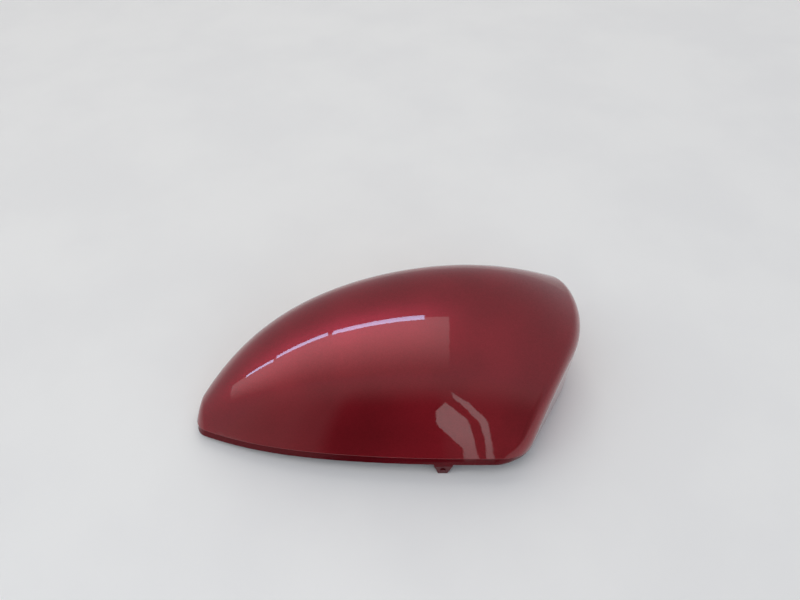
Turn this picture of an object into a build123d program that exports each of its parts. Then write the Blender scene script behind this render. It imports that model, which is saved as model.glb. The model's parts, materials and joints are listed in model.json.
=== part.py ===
"""Wing mirror cover: a painted cap moulded in one piece, lying on its rim with its open side down.

X runs from the pointed end to the broad end, Y from the lower edge to the far rim, and Z up from the
surface that the rim lies on. The origin is at the middle of the cover's length and width, on that surface.
The skin is a loft of arches, trimmed by a wall at each end. A rebate below the skin's lower edge leaves a
thin lip, which goes in behind the neighbouring housing, and the moulded fixings stand inside the hollow.
"""

import os
from math import radians, sin, sqrt, tan
from typing import NamedTuple

from build123d import *

# Overall form
cover_length = 222.0
cover_width = 132.0  # from the lip to the far rim
cover_height = 67.1
arch_span = 137.0  # from the lowest near foot to the far rim
near_slope = 62.0  # degrees, at the foot of the arches' near flank
far_slope = 67.4  # degrees, at the foot of their far flank
wall = 2.5
rim_run = 8.0  # how far the arches and end walls run on below the rim, so that their edges round off there

# Broad end: an upright wall, round in plan, then straight, and turning in at the lower corner
broad_radius = 66.0
broad_centre = 18.3  # the circle's centre, in Y
broad_slant = 31.3  # degrees, of the straight run
broad_edge_radius = 12.0
broad_straight = 44.0  # length of the straight run
corner_radius = 22.0
corner_turn = 30.0  # degrees

# Pointed end: a short wall that follows a circle and leans in
point_radius = 180.0
point_centre = -48.7  # in Y
point_draft = 11.5  # degrees
point_edge_radius = 12.0
point_lead_ratio = 0.6  # the arches' shift along X per unit of inset there, as the flanks run aslant

# Lower edge: the skin ends on a surface that lifts off the table in an arc towards the lower side
parting_start = 8.0  # where the rim begins to lift, in Y
parting_radius = 214.0
lip_height = 4.2
lip_step = 1.1  # how far the rebate is set in from the skin
skin_edge_radius = 0.5

# Lug under the lip, with a small pip on its outer face: it is what the lower side stands on
lug_centre = 29.5  # in X
lug_root_width = 12.6
lug_tip_width = 5.0
lug_thickness = 2.2
lug_lap = 2.93  # how far its root reaches up behind the lip
lug_set_in = 0.88  # from the lip's lower edge to the lug's outer face
pip_radius = 1.4
pip_height = 0.6
pip_level = 3.4

# Catches: wedges on the inside of the far rim and the broad end, flat on top
catch_width = 12.0
catch_reach = 3.5
catch_foot = 4.0  # level of the lead-in's lower end
catch_lead = 5.0  # height of the lead-in
catch_land = 2.0

# Ledge across the inside of the pointed end
ledge_level = 11.0
ledge_length = 17.0
ledge_thickness = 2.0

# Locating pegs: a round pin on a collar, on crossed ribs that stand down from the crown
peg_places = ((-35.0, 9.0), (58.0, 13.0))
peg_radius = 3.0
peg_tip_level = 18.0
peg_chamfer = 0.8
collar_radius = 5.0
collar_level = 30.0
collar_thickness = 2.0
rib_width = 13.0
rib_thickness = 1.8


class Station(NamedTuple):
    """One arch of the loft, as shares of the length, the span and the height."""

    along: float
    near_foot: float
    far_foot: float
    crown: float


stations = (
    Station(-0.009, 0.207, 0.303, 0.076),
    Station(0.042, 0.171, 0.453, 0.266),
    Station(0.167, 0.096, 0.683, 0.597),
    Station(0.398, 0.025, 0.888, 0.898),
    Station(0.660, 0.000, 0.976, 1.000),
    Station(0.900, 0.007, 0.997, 0.830),
    Station(1.110, 0.018, 1.009, 0.410),
)
caught_stations = stations[3:5]

# The arches' handles, as shares of their height, and the point that draws out the far shoulder
near_handle_ratio = 1.629
far_handle_ratio = 1.192
shoulder_along_ratio = 0.924  # of the arch's span
shoulder_level_ratio = 0.734  # of its height
overshoot = 40.0  # how far trimming tools reach past what they trim

left_end = -cover_length / 2
right_end = cover_length / 2
far_side = cover_width / 2
lower_side = far_side - arch_span
near_lean = 1 / tan(radians(near_slope))
far_lean = 1 / tan(radians(far_slope))
point_lean = tan(radians(point_draft))


def arch_outline(station: Station, inset: float):
    """The closed outline of one arch, set in by a distance, in its own plane."""
    near = lower_side + station.near_foot * arch_span + inset / sin(radians(near_slope))
    far = lower_side + station.far_foot * arch_span - inset / sin(radians(far_slope))
    rise = station.crown * cover_height - inset
    near_handle = rise * near_handle_ratio
    far_handle = rise * far_handle_ratio
    arch = Bezier(
        (near, 0),
        (near + near_handle * near_lean, near_handle),
        (near + (far - near) * shoulder_along_ratio, rise * shoulder_level_ratio),
        (far - far_handle * far_lean, far_handle),
        (far, 0),
    )
    Polyline(
        arch @ 1,
        (far + rim_run * far_lean, -rim_run),
        (near - rim_run * near_lean, -rim_run),
        arch @ 0,
    )


def cover_form(inset: float) -> Part:
    """The cover's solid form above the rim, with its surface set in by a distance."""
    with BuildPart() as form:
        for station in stations:
            shift = inset * point_lead_ratio * max(0, 1 - 2 * station.along)
            with BuildSketch(Plane.YZ.offset(left_end + station.along * cover_length + shift)):
                with BuildLine():
                    arch_outline(station, inset)
                make_face()
        loft()

        with BuildSketch(Plane.XY.offset(-rim_run)):
            with BuildLine():
                bow = CenterArc(
                    (right_end - broad_radius, broad_centre),
                    broad_radius - inset,
                    -broad_slant,
                    broad_slant + 90,
                )
                run = Line(bow @ 0, bow @ 0 - (bow % 0) * broad_straight)
                turn = JernArc(run @ 1, run % 1, corner_radius - inset, -corner_turn)
                foot = turn @ 1 + (turn % 1) * 2 * overshoot
                Polyline(
                    bow @ 1,
                    (left_end - overshoot, broad_centre + broad_radius - inset),
                    (left_end - overshoot, foot.Y),
                    foot,
                    turn @ 1,
                )
            make_face()
        extrude(amount=2 * cover_height, mode=Mode.INTERSECT)

        with BuildSketch(Plane.XY.offset(-rim_run)):
            with Locations((left_end - rim_run * point_lean + point_radius, point_centre)):
                Circle(point_radius - inset)
        extrude(amount=2 * cover_height, dir=(point_lean, 0, 1), mode=Mode.INTERSECT)

        trimmed = form.edges().filter_by(GeomType.BSPLINE).filter_by(lambda edge: (edge @ 0.5).Z > wall)
        fillet(trimmed.filter_by(lambda edge: (edge @ 0.5).X > 0), radius=broad_edge_radius - inset)
        fillet(trimmed.filter_by(lambda edge: (edge @ 0.5).X < 0), radius=point_edge_radius - inset)
        split(bisect_by=Plane.XY)
    return form.part


def lip_level() -> float:
    """The height at which the lip's lower edge meets the near flank, above its lowest foot."""
    run = lower_side - parting_start
    fall = lip_height - parting_radius
    pitch = near_lean * run + fall
    spread = near_lean**2 + 1
    return -(pitch + sqrt(pitch**2 - spread * (run**2 + fall**2 - parting_radius**2))) / spread


def below_parting(drop: float) -> Part:
    """Everything under the surface that the skin ends on, lowered by a distance."""
    with BuildPart() as under:
        with BuildSketch(Plane.YZ.offset(left_end - overshoot)):
            with BuildLine():
                lift = CenterArc((parting_start, parting_radius - drop), parting_radius, -90, -30)
                Polyline(
                    lift @ 1,
                    ((lift @ 1).X, -overshoot),
                    (parting_start, -overshoot),
                    lift @ 0,
                )
            make_face()
        extrude(amount=cover_length + 2 * overshoot)
    return under.part


def catch_outline(lean: float):
    """A catch's outline, measured from the foot of a wall that leans in: reach, then level."""
    tip = -wall - catch_reach
    lead_top = catch_foot + catch_lead
    land_top = lead_top + catch_land
    Polyline(
        (-catch_foot * lean, catch_foot),
        (-wall - catch_foot * lean, catch_foot),
        (tip - lead_top * lean, lead_top),
        (tip - land_top * lean, land_top),
        (-land_top * lean, land_top),
        close=True,
    )


with BuildPart() as fixings:
    # Lug
    lug_face = lower_side + lip_level() * near_lean + lug_set_in
    lug_root = lip_level() + lug_lap
    with BuildSketch(Plane.XZ.offset(-lug_face)):
        with BuildLine():
            Polyline(
                (lug_centre - lug_tip_width / 2, 0),
                (lug_centre + lug_tip_width / 2, 0),
                (lug_centre + lug_root_width / 2, lug_root),
                (lug_centre - lug_root_width / 2, lug_root),
                close=True,
            )
        make_face()
    extrude(amount=-lug_thickness)
    with BuildSketch(Plane.XZ.offset(-lug_face)):
        with Locations((lug_centre, pip_level)):
            Circle(pip_radius)
    extrude(amount=pip_height)

    # Catches along the far rim and on the broad end
    for station in caught_stations:
        foot = Vector(left_end + station.along * cover_length, lower_side + station.far_foot * arch_span, 0)
        with BuildSketch(Plane(foot, x_dir=(0, 1, 0), z_dir=(1, 0, 0))):
            with BuildLine():
                catch_outline(far_lean)
            make_face()
        extrude(amount=catch_width / 2, both=True)
    with BuildSketch(Plane((right_end, broad_centre, 0), x_dir=(1, 0, 0), z_dir=(0, -1, 0))):
        with BuildLine():
            catch_outline(0)
        make_face()
    extrude(amount=catch_width / 2, both=True)

    # Ledge
    with BuildSketch(Plane.XY.offset(ledge_level)):
        with Locations((left_end, point_centre)):
            Rectangle(ledge_length, cover_width, align=(Align.MIN, Align.CENTER))
    extrude(amount=ledge_thickness)

    # Pegs
    for place in peg_places:
        with BuildSketch(Plane.XY.offset(collar_level)):
            with Locations(place):
                Rectangle(rib_width, rib_thickness)
                Rectangle(rib_thickness, rib_width)
        extrude(amount=cover_height)
        with BuildSketch(Plane.XY.offset(collar_level)):
            with Locations(place):
                Circle(collar_radius)
        extrude(amount=collar_thickness)
        with BuildSketch(Plane.XY.offset(peg_tip_level)):
            with Locations(place):
                Circle(peg_radius)
        extrude(amount=collar_level + collar_thickness / 2 - peg_tip_level)
    rings = fixings.edges().filter_by(GeomType.CIRCLE)
    chamfer(rings.filter_by_position(Axis.Z, peg_tip_level, peg_tip_level), length=peg_chamfer)

    # All of them end inside the wall
    add(cover_form(wall / 2), mode=Mode.INTERSECT)

with BuildPart() as skin:
    add(cover_form(0))
    add(below_parting(0), mode=Mode.SUBTRACT)
    underside = skin.faces().filter_by(lambda face: face.normal_at().Z < -0.8)
    fillet(underside.edges().filter_by(Axis.X, reverse=True), radius=skin_edge_radius)

with BuildPart() as mirror_cover:
    add(cover_form(lip_step))
    add(below_parting(lip_height), mode=Mode.SUBTRACT)
    add(skin.part)
    add(cover_form(wall), mode=Mode.SUBTRACT)
    add(fixings.part)

mirror_cover.part.label = "mirror_cover"
os.makedirs("parts", exist_ok=True)
export_step(mirror_cover.part, "parts/mirror_cover.step")
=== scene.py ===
"""Wing mirror cover: its finishes, and the studio and camera that show it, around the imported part.

Everything is in metres, in the part's own frame: X from the pointed end to the broad end, Y from the lower
edge to the far rim, and Z up from the table that the rim lies on.
"""

import json
import logging
import math
from dataclasses import dataclass, field
from enum import Enum

import bpy
import numpy as np
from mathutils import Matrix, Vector
from mathutils.bvhtree import BVHTree

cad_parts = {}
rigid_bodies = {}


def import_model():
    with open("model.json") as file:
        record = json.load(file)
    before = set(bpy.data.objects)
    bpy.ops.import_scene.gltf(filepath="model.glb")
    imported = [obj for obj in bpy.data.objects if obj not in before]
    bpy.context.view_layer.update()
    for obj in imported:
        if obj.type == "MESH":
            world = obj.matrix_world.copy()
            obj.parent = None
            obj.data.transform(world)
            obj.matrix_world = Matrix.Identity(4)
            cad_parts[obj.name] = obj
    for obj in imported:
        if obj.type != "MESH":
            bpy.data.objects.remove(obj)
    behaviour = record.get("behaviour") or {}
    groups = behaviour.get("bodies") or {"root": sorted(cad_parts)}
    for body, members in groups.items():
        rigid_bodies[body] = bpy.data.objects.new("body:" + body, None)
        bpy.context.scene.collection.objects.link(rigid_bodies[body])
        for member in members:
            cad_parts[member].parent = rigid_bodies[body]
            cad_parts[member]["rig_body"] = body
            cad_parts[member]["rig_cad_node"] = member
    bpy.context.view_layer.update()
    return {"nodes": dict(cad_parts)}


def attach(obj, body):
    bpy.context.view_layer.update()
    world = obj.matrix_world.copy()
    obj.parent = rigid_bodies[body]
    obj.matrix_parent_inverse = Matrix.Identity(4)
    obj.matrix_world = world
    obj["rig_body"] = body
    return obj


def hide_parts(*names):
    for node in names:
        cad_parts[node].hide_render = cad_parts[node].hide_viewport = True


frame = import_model()

LOG = logging.getLogger("mirror_cover")

Colour = tuple[float, float, float]
Place = tuple[float, float, float]
Range = tuple[float, float]
Steps = tuple[tuple[float, float], ...]
Outline = tuple[tuple[float, float], ...]

WHOLE: Range = (0.0, 1.0)
MIDDLE_GREY: Colour = (0.5, 0.5, 0.5)


class Side(Enum):
    """The sides of the moulding, in the order of its material slots."""

    OUTSIDE = 0
    EDGE = 1
    HOLLOW = 2


class Aim(Enum):
    """Where a lamp or a screen faces, as the turn about X, in degrees, that takes it there."""

    DOWN = 0.0
    AWAY = 90.0
    NEAR = -45.0


class LampUse(Enum):
    """What a lamp is for: the shine that the paint mirrors, or the soft light on dull surfaces."""

    SHINE = "shine"
    SOFT = "soft"


class NodeSheet:
    """A material's node tree, with short calls to add and join nodes."""

    # The numbers of a mix node's colour sockets, which share their names with its other sockets
    FIRST_COLOUR = 6
    SECOND_COLOUR = 7
    MIXED_COLOUR = 2

    def __init__(self, name: str) -> None:
        """Starts a material with an output and no other node.

        Args:
            name: The material's name.
        """
        self.material = bpy.data.materials.new(name)
        self.material.use_nodes = True
        self.tree = self.material.node_tree
        self.tree.nodes.clear()
        self.output = self.tree.nodes.new("ShaderNodeOutputMaterial")

    def add(self, kind: str, **values: object) -> bpy.types.Node:
        """Adds a node.

        Args:
            kind: The node's type name.
            **values: Its own settings, by name.

        Returns:
            The node.
        """
        node = self.tree.nodes.new(kind)
        for name, value in values.items():
            setattr(node, name, value)
        return node

    def join(self, start: bpy.types.NodeSocket, end: bpy.types.NodeSocket) -> None:
        """Links an output socket to an input socket."""
        self.tree.links.new(start, end)

    def place(self) -> bpy.types.NodeSocket:
        """Gives the Object coordinates, which are the part's own frame."""
        return self.add("ShaderNodeTexCoord").outputs["Object"]

    def axis(self, name: str) -> bpy.types.NodeSocket:
        """Gives one of the Object coordinates.

        Args:
            name: X, Y or Z.

        Returns:
            The coordinate, in metres.
        """
        node = self.add("ShaderNodeSeparateXYZ")
        self.join(self.place(), node.inputs["Vector"])
        return node.outputs[name]

    def noise(self, scale: float, detail: float) -> bpy.types.NodeSocket:
        """Adds a noise on the part's frame.

        Args:
            scale: Its cycles in a metre.
            detail: Its octaves.

        Returns:
            The noise's value, about 0.5.
        """
        node = self.add("ShaderNodeTexNoise")
        node.inputs["Scale"].default_value = scale
        node.inputs["Detail"].default_value = detail
        self.join(self.place(), node.inputs["Vector"])
        return node.outputs["Fac"]

    def remap(self, value: bpy.types.NodeSocket, start: Range, end: Range) -> bpy.types.NodeSocket:
        """Maps a value from one range to another, and holds it there.

        Args:
            value: The socket to map.
            start: The range to map from.
            end: The range to map to.

        Returns:
            The mapped socket.
        """
        node = self.add("ShaderNodeMapRange", interpolation_type="SMOOTHSTEP")
        for name, bound in zip(("From Min", "From Max", "To Min", "To Max"), (*start, *end)):
            node.inputs[name].default_value = bound
        self.join(value, node.inputs["Value"])
        return node.outputs["Result"]

    def scale_add(
        self, value: bpy.types.NodeSocket, factor: float, extra: bpy.types.NodeSocket
    ) -> bpy.types.NodeSocket:
        """Multiplies a value by a number and adds another value.

        Args:
            value: The socket to multiply.
            factor: The number.
            extra: The socket to add.

        Returns:
            The sum.
        """
        node = self.add("ShaderNodeMath", operation="MULTIPLY_ADD")
        node.inputs[1].default_value = factor
        self.join(value, node.inputs[0])
        self.join(extra, node.inputs[2])
        return node.outputs["Value"]

    def blend(
        self, share: bpy.types.NodeSocket, first: Colour, second: Colour
    ) -> bpy.types.NodeSocket:
        """Mixes two colours by a share.

        Args:
            share: The share of the second colour.
            first: The first colour, linear.
            second: The second colour, linear.

        Returns:
            The mixed colour.
        """
        node = self.add("ShaderNodeMix", data_type="RGBA")
        node.inputs[self.FIRST_COLOUR].default_value = (*first, 1.0)
        node.inputs[self.SECOND_COLOUR].default_value = (*second, 1.0)
        self.join(share, node.inputs["Factor"])
        return node.outputs[self.MIXED_COLOUR]

    def grade(self, value: bpy.types.NodeSocket, steps: Steps) -> bpy.types.NodeSocket:
        """Gives a grey for each value, eased between steps.

        Args:
            value: The socket to read.
            steps: Values, in rising order, each with its grey.

        Returns:
            The grey, as a colour.
        """
        first, last = steps[0][0], steps[-1][0]
        along = self.add("ShaderNodeMapRange")
        along.inputs["From Min"].default_value = first
        along.inputs["From Max"].default_value = last
        self.join(value, along.inputs["Value"])
        ramp = self.add("ShaderNodeValToRGB")
        ramp.color_ramp.interpolation = "EASE"
        stops = ramp.color_ramp.elements
        for _ in steps[2:]:
            stops.new(1.0)
        for stop, (at, grey) in zip(stops, steps):
            stop.position = (at - first) / (last - first)
            stop.color = (grey, grey, grey, 1.0)
        self.join(along.outputs["Result"], ramp.inputs["Fac"])
        return ramp.outputs["Color"]

    def bump(self, height: bpy.types.NodeSocket, distance: float) -> bpy.types.NodeSocket:
        """Turns a height into a normal.

        Args:
            height: The height, from 0 to 1.
            distance: How high 1 stands, in metres.

        Returns:
            The normal.
        """
        node = self.add("ShaderNodeBump")
        node.inputs["Strength"].default_value = 1.0
        node.inputs["Distance"].default_value = distance
        self.join(height, node.inputs["Height"])
        return node.outputs["Normal"]

    def shade(self, **values: object) -> bpy.types.Node:
        """Adds the surface's shader and joins it to the output.

        Args:
            **values: Its sockets' constants, with _ for each space.

        Returns:
            The shader node.
        """
        node = self.add("ShaderNodeBsdfPrincipled")
        for name, value in values.items():
            node.inputs[name.replace("_", " ")].default_value = value
        self.join(node.outputs["BSDF"], self.output.inputs["Surface"])
        return node

    def glow(self, colour: bpy.types.NodeSocket, strength: float) -> None:
        """Adds a glow and joins it to the output.

        Args:
            colour: Its colour.
            strength: Its strength, where 1 shows the colour as it is.
        """
        node = self.add("ShaderNodeEmission")
        node.inputs["Strength"].default_value = strength
        self.join(colour, node.inputs["Color"])
        self.join(node.outputs["Emission"], self.output.inputs["Surface"])


@dataclass(frozen=True)
class FlakePaint:
    """Metallic paint under a clear coat: flakes in a deep tint, below a coat with a faint orange peel."""

    name: str
    deep: Colour
    bright: Colour
    metallic: float = 0.85
    roughness: float = 0.40
    coat: float = 1.0
    coat_roughness: float = 0.025
    coat_ior: float = 1.5
    flake_scale: float = 2600.0
    flake_share: float = 0.45
    flake_tilt: float = 0.05
    drift_scale: float = 30.0
    drift_range: Range = (0.3, 0.7)
    drift_share: Range = (0.1, 0.45)
    peel_scale: float = 420.0
    peel_height: float = 6.0e-6

    def make(self) -> bpy.types.Material:
        """Builds the material.

        Returns:
            The material.
        """
        sheet = NodeSheet(self.name)
        shader = sheet.shade(
            Metallic=self.metallic,
            Roughness=self.roughness,
            Coat_Weight=self.coat,
            Coat_Roughness=self.coat_roughness,
            Coat_IOR=self.coat_ior,
        )
        flakes = sheet.add("ShaderNodeTexVoronoi")
        flakes.inputs["Scale"].default_value = self.flake_scale
        sheet.join(sheet.place(), flakes.inputs["Vector"])
        sheet.join(self.tint(sheet, flakes.outputs["Color"]), shader.inputs["Base Color"])
        sheet.join(self.tilt(sheet, flakes.outputs["Color"]), shader.inputs["Normal"])
        peel = sheet.noise(scale=self.peel_scale, detail=2.0)
        sheet.join(sheet.bump(peel, self.peel_height), shader.inputs["Coat Normal"])
        return sheet.material

    def tint(self, sheet: NodeSheet, flakes: bpy.types.NodeSocket) -> bpy.types.NodeSocket:
        """Gives each flake its own share of the bright colour, over a slow drift.

        Args:
            sheet: The material's nodes.
            flakes: A chance colour for each flake.

        Returns:
            The paint's colour.
        """
        split = sheet.add("ShaderNodeSeparateColor")
        sheet.join(flakes, split.inputs["Color"])
        drift = sheet.noise(scale=self.drift_scale, detail=1.0)
        least = sheet.remap(drift, self.drift_range, self.drift_share)
        share = sheet.scale_add(split.outputs["Red"], self.flake_share, least)
        return sheet.blend(share, self.deep, self.bright)

    def tilt(self, sheet: NodeSheet, flakes: bpy.types.NodeSocket) -> bpy.types.NodeSocket:
        """Leans each flake a little, its own way.

        Args:
            sheet: The material's nodes.
            flakes: A chance colour for each flake.

        Returns:
            The flakes' normal.
        """
        centred = sheet.add("ShaderNodeVectorMath", operation="SUBTRACT")
        centred.inputs[1].default_value = MIDDLE_GREY
        sheet.join(flakes, centred.inputs[0])
        tilted = sheet.add("ShaderNodeVectorMath", operation="MULTIPLY_ADD")
        tilted.inputs[1].default_value = (self.flake_tilt,) * 3
        sheet.join(centred.outputs["Vector"], tilted.inputs[0])
        sheet.join(sheet.add("ShaderNodeNewGeometry").outputs["Normal"], tilted.inputs[2])
        even = sheet.add("ShaderNodeVectorMath", operation="NORMALIZE")
        sheet.join(tilted.outputs["Vector"], even.inputs[0])
        return even.outputs["Vector"]


@dataclass(frozen=True)
class MouldedPlastic:
    """Bare moulded plastic with a fine grain, and a drift of paint that fades out from the rim."""

    name: str
    plastic: Colour
    overspray: Colour
    specular: float = 0.45
    roughness: float = 0.52
    roughness_swing: float = 0.08
    grain_scale: float = 1500.0
    grain_range: Range = (0.2, 0.8)
    grain_height: float = 2.5e-5
    spray_start: float = 0.002
    spray_fade: float = 0.017
    spray_most: float = 0.8
    wander_scale: float = 70.0

    def make(self) -> bpy.types.Material:
        """Builds the material.

        Returns:
            The material.
        """
        sheet = NodeSheet(self.name)
        shader = sheet.shade(Specular_IOR_Level=self.specular)
        wander = sheet.noise(scale=self.wander_scale, detail=4.0)
        level = sheet.scale_add(wander, self.spray_fade, sheet.axis("Z"))
        start = self.spray_start + self.spray_fade / 2
        share = sheet.remap(level, (start, start + self.spray_fade), (self.spray_most, 0.0))
        sheet.join(sheet.blend(share, self.plastic, self.overspray), shader.inputs["Base Color"])
        grain = sheet.noise(scale=self.grain_scale, detail=3.0)
        swing = (self.roughness - self.roughness_swing, self.roughness + self.roughness_swing)
        sheet.join(sheet.remap(grain, self.grain_range, swing), shader.inputs["Roughness"])
        sheet.join(sheet.bump(grain, self.grain_height), shader.inputs["Normal"])
        return sheet.material


@dataclass(frozen=True)
class TableTop:
    """A pale table top with a faint mottle."""

    name: str
    pale: Colour
    shade: Colour
    roughness: float = 0.5
    specular: float = 0.3
    mottle_scale: float = 9.0
    mottle_range: Range = (0.35, 0.65)

    def make(self) -> bpy.types.Material:
        """Builds the material.

        Returns:
            The material.
        """
        sheet = NodeSheet(self.name)
        shader = sheet.shade(Roughness=self.roughness, Specular_IOR_Level=self.specular)
        mottle = sheet.remap(sheet.noise(scale=self.mottle_scale, detail=5.0), self.mottle_range, WHOLE)
        sheet.join(sheet.blend(mottle, self.pale, self.shade), shader.inputs["Base Color"])
        return sheet.material


OUTSIDE_PAINT = FlakePaint(
    name="red_flake_paint",
    deep=(0.20, 0.0045, 0.010),
    bright=(0.335, 0.011, 0.022),
)
# Edge paint for the lip and lug. Its thinner, duller coat is real, but its darker base colour is partly
# painted shade, because these faces turn down towards the shaded table.
EDGE_PAINT_AND_SHADE = FlakePaint(
    name="red_edge_paint_and_shade",
    deep=(0.10, 0.002, 0.006),
    bright=(0.18, 0.006, 0.014),
    metallic=0.95,
    coat=0.3,
    coat_roughness=0.06,
    peel_height=1.2e-5,
)
HOLLOW_PLASTIC = MouldedPlastic(
    name="black_moulded_plastic",
    plastic=(0.016, 0.016, 0.018),
    overspray=(0.17, 0.012, 0.020),
)
TABLE_TOP = TableTop(name="pale_table", pale=(0.87, 0.87, 0.86), shade=(0.84, 0.84, 0.835))


class SurfaceFit:
    """True normals for a surface known by points that lie on it: a quadric fitted round each point."""

    NEAREST = 20  # the most neighbours that a fit uses
    LEAST = 7  # the fewest, below which the given normal stays
    STEEP = 0.8  # the share of X in a normal past which the fit's own axes start from Y
    SOFTENING = 0.05  # keeps the weight of very near neighbours in bounds
    CUTOFF = 1e-4  # the share of the largest below which a fit's weak terms are dropped

    def __init__(self, points: np.ndarray, triangles: np.ndarray, given: np.ndarray) -> None:
        """Keeps the mesh.

        Args:
            points: The vertices.
            triangles: Their numbers, by triangle.
            given: A first normal for each vertex.
        """
        self.points = points
        self.triangles = triangles
        self.given = given

    def neighbours(self) -> list[np.ndarray]:
        """Finds the vertices within two edges of each vertex.

        Returns:
            The nearest of them, by vertex.
        """
        beside: list[set[int]] = [set() for _ in self.points]
        for a, b, c in self.triangles.tolist():
            beside[a].update((b, c))
            beside[b].update((a, c))
            beside[c].update((a, b))
        found = []
        for own, first in enumerate(beside):
            wide = set(first)
            for other in first:
                wide |= beside[other]
            wide.discard(own)
            near = np.fromiter(wide, int, len(wide))
            reach = ((self.points[near] - self.points[own]) ** 2).sum(1)
            found.append(near[np.argsort(reach, kind="stable")[: self.NEAREST]])
        return found

    def normals(self) -> np.ndarray:
        """Fits the normals.

        Returns:
            A unit normal for each vertex.
        """
        fitted = self.given.copy()
        for own, near in enumerate(self.neighbours()):
            if len(near) < self.LEAST:
                continue
            up = self.given[own]
            side = np.cross(up, (1.0, 0.0, 0.0) if abs(up[0]) < self.STEEP else (0.0, 1.0, 0.0))
            side /= np.linalg.norm(side)
            ahead = np.cross(up, side)
            away = self.points[near] - self.points[own]
            u, v, w = away @ side, away @ ahead, away @ up
            reach = math.sqrt(float((u * u + v * v).max()))
            if reach == 0.0:
                continue
            u, v, w = u / reach, v / reach, w / reach
            weight = 1.0 / (self.SOFTENING + np.sqrt(u * u + v * v))
            terms = np.stack((u, v, u * u, u * v, v * v), 1) * weight[:, None]
            slope = np.linalg.lstsq(terms, w * weight, rcond=self.CUTOFF)[0]
            normal = up - slope[0] * side - slope[1] * ahead
            fitted[own] = normal / np.linalg.norm(normal)
        return fitted


@dataclass
class CoverMoulding:
    """The cover: one painted moulding, bare plastic in its hollow."""

    node: str = "mirror_cover"
    name: str = "painted_mirror_cover"
    body: str = "root"
    slot: str = "paint"
    weld: float = 2.0e-6
    smooth_degrees: float = 14.0
    probe: float = 2.0e-5
    parting_start: float = 0.008
    parting_radius: float = 0.214
    kept_normal: str = "true_normal"
    piece: bpy.types.Object = field(init=False)

    def build(self) -> bpy.types.Object:
        """Makes the piece, dresses it and sets it in place of the CAD node.

        Returns:
            The piece.
        """
        self.copy_node()
        self.dress()
        self.weld_seams()
        self.set_normals()
        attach(self.piece, self.body)
        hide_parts(self.node)
        return self.piece

    def copy_node(self) -> None:
        """Copies the CAD node, with a mesh of its own."""
        source = frame["nodes"][self.node]
        bpy.ops.object.select_all(action="DESELECT")
        source.select_set(True)
        bpy.context.view_layer.objects.active = source
        bpy.ops.object.duplicate(linked=False)
        self.piece = bpy.context.view_layer.objects.active
        self.piece.name = self.name
        self.piece.data.name = self.name
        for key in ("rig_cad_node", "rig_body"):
            if key in self.piece:
                del self.piece[key]

    def dress(self) -> None:
        """Gives each face the finish of its side of the moulding: faces below the parting get the edge
        paint, whose darker colour is partly painted shade.
        """
        mesh = self.piece.data
        mesh.materials.clear()
        for finish in (OUTSIDE_PAINT, EDGE_PAINT_AND_SHADE, HOLLOW_PLASTIC):
            mesh.materials.append(finish.make())
        tree = BVHTree.FromPolygons(
            [v.co for v in mesh.vertices], [p.vertices[:] for p in mesh.polygons], epsilon=0.0
        )
        for face in mesh.polygons:
            face.material_index = self.side_of(face, tree).value

    def side_of(self, face: bpy.types.MeshPolygon, tree: BVHTree) -> Side:
        """Tells which side of the moulding a face is on.

        Args:
            face: The face.
            tree: The moulding's own surface, to look along.

        Returns:
            The side.
        """
        start = face.center + face.normal * self.probe
        if tree.ray_cast(start, face.normal)[0] is not None:
            return Side.HOLLOW
        run = max(0.0, self.parting_start - face.center.y)
        parting = self.parting_radius - math.sqrt(self.parting_radius**2 - run**2)
        if face.center.z < parting + self.probe:
            return Side.EDGE
        return Side.OUTSIDE

    def weld_seams(self) -> None:
        """Fits true normals, keeps them on the corners and merges the faces' shared edges."""
        mesh = self.piece.data
        points = np.empty(len(mesh.vertices) * 3)
        mesh.vertices.foreach_get("co", points)
        points = points.reshape(-1, 3)
        corners = np.empty(len(mesh.loops), int)
        mesh.loops.foreach_get("vertex_index", corners)
        given = np.zeros_like(points)
        loose = np.empty(len(mesh.loops) * 3, np.float32)
        mesh.corner_normals.foreach_get("vector", loose)
        given[corners] = loose.reshape(-1, 3)
        fitted = SurfaceFit(points, corners.reshape(-1, 3), given).normals()

        held = mesh.attributes.new(self.kept_normal, "FLOAT_VECTOR", "CORNER")
        held.data.foreach_set("vector", fitted[corners].astype(np.float32).ravel())
        bpy.ops.object.mode_set(mode="EDIT")
        bpy.ops.mesh.select_all(action="SELECT")
        bpy.ops.mesh.remove_doubles(threshold=self.weld)
        bpy.ops.object.mode_set(mode="OBJECT")
        bpy.ops.object.shade_smooth()

    def set_normals(self) -> None:
        """Sets the normals kept on the corners, evened out where surfaces run on smoothly."""
        mesh = self.piece.data
        held = mesh.attributes[self.kept_normal]
        kept = np.empty(len(mesh.loops) * 3, np.float32)
        held.data.foreach_get("vector", kept)
        kept = kept.reshape(-1, 3).astype(float)
        corners = np.empty(len(mesh.loops), int)
        mesh.loops.foreach_get("vertex_index", corners)
        order = np.argsort(corners, kind="stable")
        starts = np.flatnonzero(np.diff(corners[order], prepend=-1))
        near = math.cos(math.radians(self.smooth_degrees))
        even = kept.copy()
        for group in np.split(order, starts[1:]):
            own = kept[group]
            alike = (own @ own.T) > near
            even[group] = alike.astype(float) @ own
        even /= np.linalg.norm(even, axis=1)[:, None]
        mesh.attributes.remove(mesh.attributes[self.kept_normal])
        if "custom_normal" in mesh.attributes:
            mesh.attributes.remove(mesh.attributes["custom_normal"])
        mesh.normals_split_custom_set(even.tolist())
        mesh.update()


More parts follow.
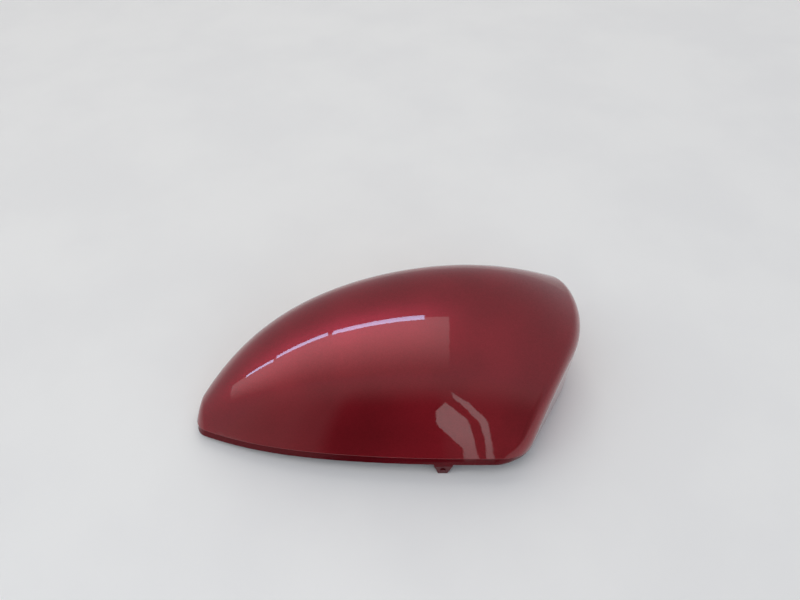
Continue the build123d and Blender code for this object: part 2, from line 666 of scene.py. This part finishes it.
@dataclass(frozen=True)
class Lamp:
    """A soft box: a flat lamp of even brightness, turned about Z by an angle in degrees."""

    POWER = 4.0  # a flat lamp's power for each unit of its area and its radiance

    name: str
    middle: Place
    size: tuple[float, float]
    radiance: float
    colour: Colour
    use: LampUse
    aim: Aim = Aim.DOWN
    turn: float = 0.0

    def hang(self) -> bpy.types.Object:
        """Adds the lamp to the scene.

        Returns:
            The lamp.
        """
        turned = (math.radians(self.aim.value), 0.0, math.radians(self.turn))
        bpy.ops.object.light_add(type="AREA", location=self.middle, rotation=turned)
        lamp = bpy.context.object
        lamp.name = self.name
        lamp.visible_camera = False
        lamp.visible_diffuse = self.use is LampUse.SOFT
        lamp.visible_glossy = self.use is LampUse.SHINE
        lamp.data.shape = "RECTANGLE"
        lamp.data.size, lamp.data.size_y = self.size
        lamp.data.color = self.colour
        lamp.data.energy = self.POWER * self.size[0] * self.size[1] * self.radiance
        return lamp


@dataclass(frozen=True)
class TubeStrip:
    """The strip of tubes over the table: what its tubes share."""

    level: float = 1.20
    width: float = 0.09
    radiance: float = 9.6
    tint: Colour = (0.40, 0.64, 1.0)

    def tube(self, name: str, middle: tuple[float, float], length: float, turn: float = 0.0) -> Lamp:
        """Gives one tube.

        Args:
            name: Its name.
            middle: Its middle, in X and Y.
            length: Its length.
            turn: Its turn about Z, in degrees.

        Returns:
            The tube, not yet hung.
        """
        place = (*middle, self.level)
        size = (length, self.width)
        return Lamp(name, place, size, self.radiance, self.tint, LampUse.SHINE, turn=turn)


@dataclass(frozen=True)
class Screen:
    """A flat screen that the camera does not see, and that the glossy paint mirrors."""

    name: str
    middle: Place
    size: tuple[float, float]
    aim: Aim = Aim.DOWN

    def put_up(self, material: bpy.types.Material) -> bpy.types.Object:
        """Adds the screen to the scene.

        Args:
            material: Its material.

        Returns:
            The screen.
        """
        bpy.ops.object.select_all(action="DESELECT")
        bpy.ops.mesh.primitive_plane_add(
            size=1.0, location=self.middle, rotation=(math.radians(self.aim.value), 0.0, 0.0)
        )
        screen = bpy.context.object
        screen.name = self.name
        screen.scale = (*self.size, 1.0)
        bpy.ops.object.transform_apply(location=True, rotation=True, scale=True)
        screen.visible_camera = False
        screen.data.materials.append(material)
        return screen


@dataclass(frozen=True)
class WindowPane:
    """An upright pane on the near side, with its outline in X and Z, that the glossy paint mirrors."""

    name: str
    outline: Outline
    away: float = -1.50

    def put_up(self, material: bpy.types.Material) -> bpy.types.Object:
        """Adds the pane to the scene.

        Args:
            material: Its material.

        Returns:
            The pane.
        """
        bpy.ops.object.select_all(action="DESELECT")
        bpy.ops.mesh.primitive_circle_add(vertices=len(self.outline), fill_type="NGON")
        pane = bpy.context.object
        pane.name = self.name
        for corner, (across, level) in zip(pane.data.vertices, self.outline):
            corner.co = (across, self.away, level)
        pane.data.update()
        pane.visible_camera = False
        pane.data.materials.append(material)
        return pane


@dataclass(frozen=True)
class PaneGlow:
    """Daylight in a pane, in steps along Z."""

    name: str
    steps: Steps
    strength: float

    def make(self) -> bpy.types.Material:
        """Builds the material.

        Returns:
            The material.
        """
        sheet = NodeSheet(self.name)
        sheet.glow(sheet.grade(sheet.axis("Z"), self.steps), self.strength)
        return sheet.material


@dataclass(frozen=True)
class GradedGlow:
    """A glow that grows along Y up to an edge, and is dim past it.

    The edge bends back along X, from one place to another.
    """

    name: str
    steps: Steps
    strength: float
    bend_from: float
    bend_to: float
    bend: float

    def make(self) -> bpy.types.Material:
        """Builds the material.

        Returns:
            The material.
        """
        sheet = NodeSheet(self.name)
        bent = sheet.add("ShaderNodeMath", operation="ADD")
        sheet.join(sheet.axis("Y"), bent.inputs[0])
        bend = sheet.remap(sheet.axis("X"), (self.bend_to, self.bend_from), (self.bend, 0.0))
        sheet.join(bend, bent.inputs[1])
        sheet.glow(sheet.grade(bent.outputs["Value"], self.steps), self.strength)
        return sheet.material


@dataclass(frozen=True)
class DimCloth:
    """A cloth that glows faintly, in steps along X, and fades into the room's own grey at its top."""

    name: str
    steps: Steps
    fade: Range
    room: float
    strength: float = 1.0

    def make(self) -> bpy.types.Material:
        """Builds the material.

        Returns:
            The material.
        """
        sheet = NodeSheet(self.name)
        level = sheet.add("ShaderNodeMix", data_type="RGBA")
        level.inputs[sheet.SECOND_COLOUR].default_value = (self.room, self.room, self.room, 1.0)
        sheet.join(sheet.remap(sheet.axis("Z"), self.fade, WHOLE), level.inputs["Factor"])
        sheet.join(sheet.grade(sheet.axis("X"), self.steps), level.inputs[sheet.FIRST_COLOUR])
        sheet.glow(level.outputs[sheet.MIXED_COLOUR], self.strength)
        return sheet.material


CANOPY_GLOW = GradedGlow(
    name="canopy_glow",
    steps=((-1.20, 0.30), (-0.06, 1.0), (0.010, 1.0), (0.014, 0.30), (0.50, 0.30)),
    strength=1.65,
    bend_from=-0.62,
    bend_to=-1.90,
    bend=0.21,
)
PANE_GLOW = PaneGlow(
    name="pane_glow",
    steps=((0.0, 0.75), (0.4, 1.0), (0.8, 1.0), (1.2, 0.75)),
    strength=1.95,
)
BACK_CLOTH = DimCloth(
    name="back_cloth",
    steps=(
        (-1.9, 0.50),
        (-1.0, 0.36),
        (-0.68, 0.24),
        (-0.50, 0.01),
        (0.06, 0.01),
        (0.12, 0.12),
        (0.8, 0.15),
        (1.9, 0.35),
    ),
    fade=(0.75, 1.45),
    room=0.5,
)
TUBES = TubeStrip()


@dataclass
class Studio:
    """A pale table under soft boxes, in an even grey room."""

    table_size: float = 14.0
    room: Colour = (0.50, 0.50, 0.53)
    canopy: Screen = Screen("canopy", middle=(-1.43, -0.59, 1.25), size=(3.16, 1.25))
    back: Screen = Screen("back_screen", middle=(0.0, -1.60, 0.75), size=(3.8, 1.50), aim=Aim.AWAY)
    lamps: tuple[Lamp, ...] = (
        TUBES.tube("tube_near", middle=(-0.33, 0.012), length=0.61),
        TUBES.tube("tube_mid", middle=(-0.985, -0.0365), length=0.63, turn=10.5),
        TUBES.tube("tube_far", middle=(-1.73, -0.175), length=0.78, turn=4.0),
        Lamp(
            "back_box",
            middle=(0.35, 2.60, 2.60),
            size=(3.0, 2.2),
            radiance=1.52,
            colour=(1.0, 0.985, 0.90),
            use=LampUse.SOFT,
            aim=Aim.NEAR,
        ),
        Lamp(
            "front_box",
            middle=(0.9, -1.40, 0.90),
            size=(1.8, 1.2),
            radiance=0.7,
            colour=(0.62, 0.78, 1.0),
            use=LampUse.SOFT,
            aim=Aim.AWAY,
        ),
    )
    panes: tuple[WindowPane, ...] = (
        WindowPane(
            "pane_wide",
            outline=(
                (0.05, 0.48),
                (0.05, 0.67),
                (0.11, 0.84),
                (0.22, 0.57),
                (0.23, 0.34),
                (0.23, 0.01),
                (0.17, 0.01),
                (0.17, 0.17),
            ),
        ),
        WindowPane(
            "pane_narrow",
            outline=(
                (0.172, 0.92),
                (0.163, 1.05),
                (0.263, 0.85),
                (0.335, 0.58),
                (0.315, 0.28),
                (0.30, 0.01),
                (0.263, 0.01),
                (0.285, 0.32),
                (0.281, 0.54),
                (0.23, 0.75),
            ),
        ),
    )

    def build(self) -> None:
        """Lays the table, lights it and sets the room's grey."""
        bpy.ops.object.select_all(action="DESELECT")
        bpy.ops.mesh.primitive_plane_add(size=self.table_size)
        table = bpy.context.object
        table.name = "table"
        table.data.materials.append(TABLE_TOP.make())
        self.canopy.put_up(CANOPY_GLOW.make())
        self.back.put_up(BACK_CLOTH.make())
        pane_glow = PANE_GLOW.make()
        for pane in self.panes:
            pane.put_up(pane_glow)
        for lamp in self.lamps:
            lamp.hang()
        world = bpy.data.worlds.new("room")
        world.use_nodes = True
        world.node_tree.nodes["Background"].inputs["Color"].default_value = (*self.room, 1.0)
        bpy.context.scene.world = world


@dataclass(frozen=True)
class ViewCamera:
    """The camera of the photograph, with its dip in degrees, and its lens and sensor in millimetres."""

    place: Place = (0.0064, -0.21515, 0.3032)
    dip: float = 47.6
    lens: float = 27.0
    sensor: float = 36.0
    nearest: float = 0.01

    def set_up(self) -> bpy.types.Object:
        """Adds the camera and makes it the scene's.

        Returns:
            The camera.
        """
        bpy.ops.object.camera_add(
            location=self.place, rotation=(math.radians(90.0 - self.dip), 0.0, 0.0)
        )
        camera = bpy.context.object
        camera.name = "view_camera"
        camera.data.sensor_fit = "HORIZONTAL"
        camera.data.sensor_width = self.sensor
        camera.data.lens = self.lens
        camera.data.clip_start = self.nearest
        bpy.context.scene.camera = camera
        return camera


def main() -> None:
    """Builds the cover, the studio and the camera, in that order."""
    logging.basicConfig(level=logging.INFO, format="%(name)s: %(message)s")
    bpy.context.scene.view_settings.view_transform = "Standard"
    piece = CoverMoulding().build()
    LOG.info("%s: %d faces", piece.name, len(piece.data.polygons))
    studio = Studio()
    studio.build()
    LOG.info("studio: %d lamps and %d panes", len(studio.lamps), len(studio.panes))
    ViewCamera().set_up()


if __name__ == "__main__":
    main()
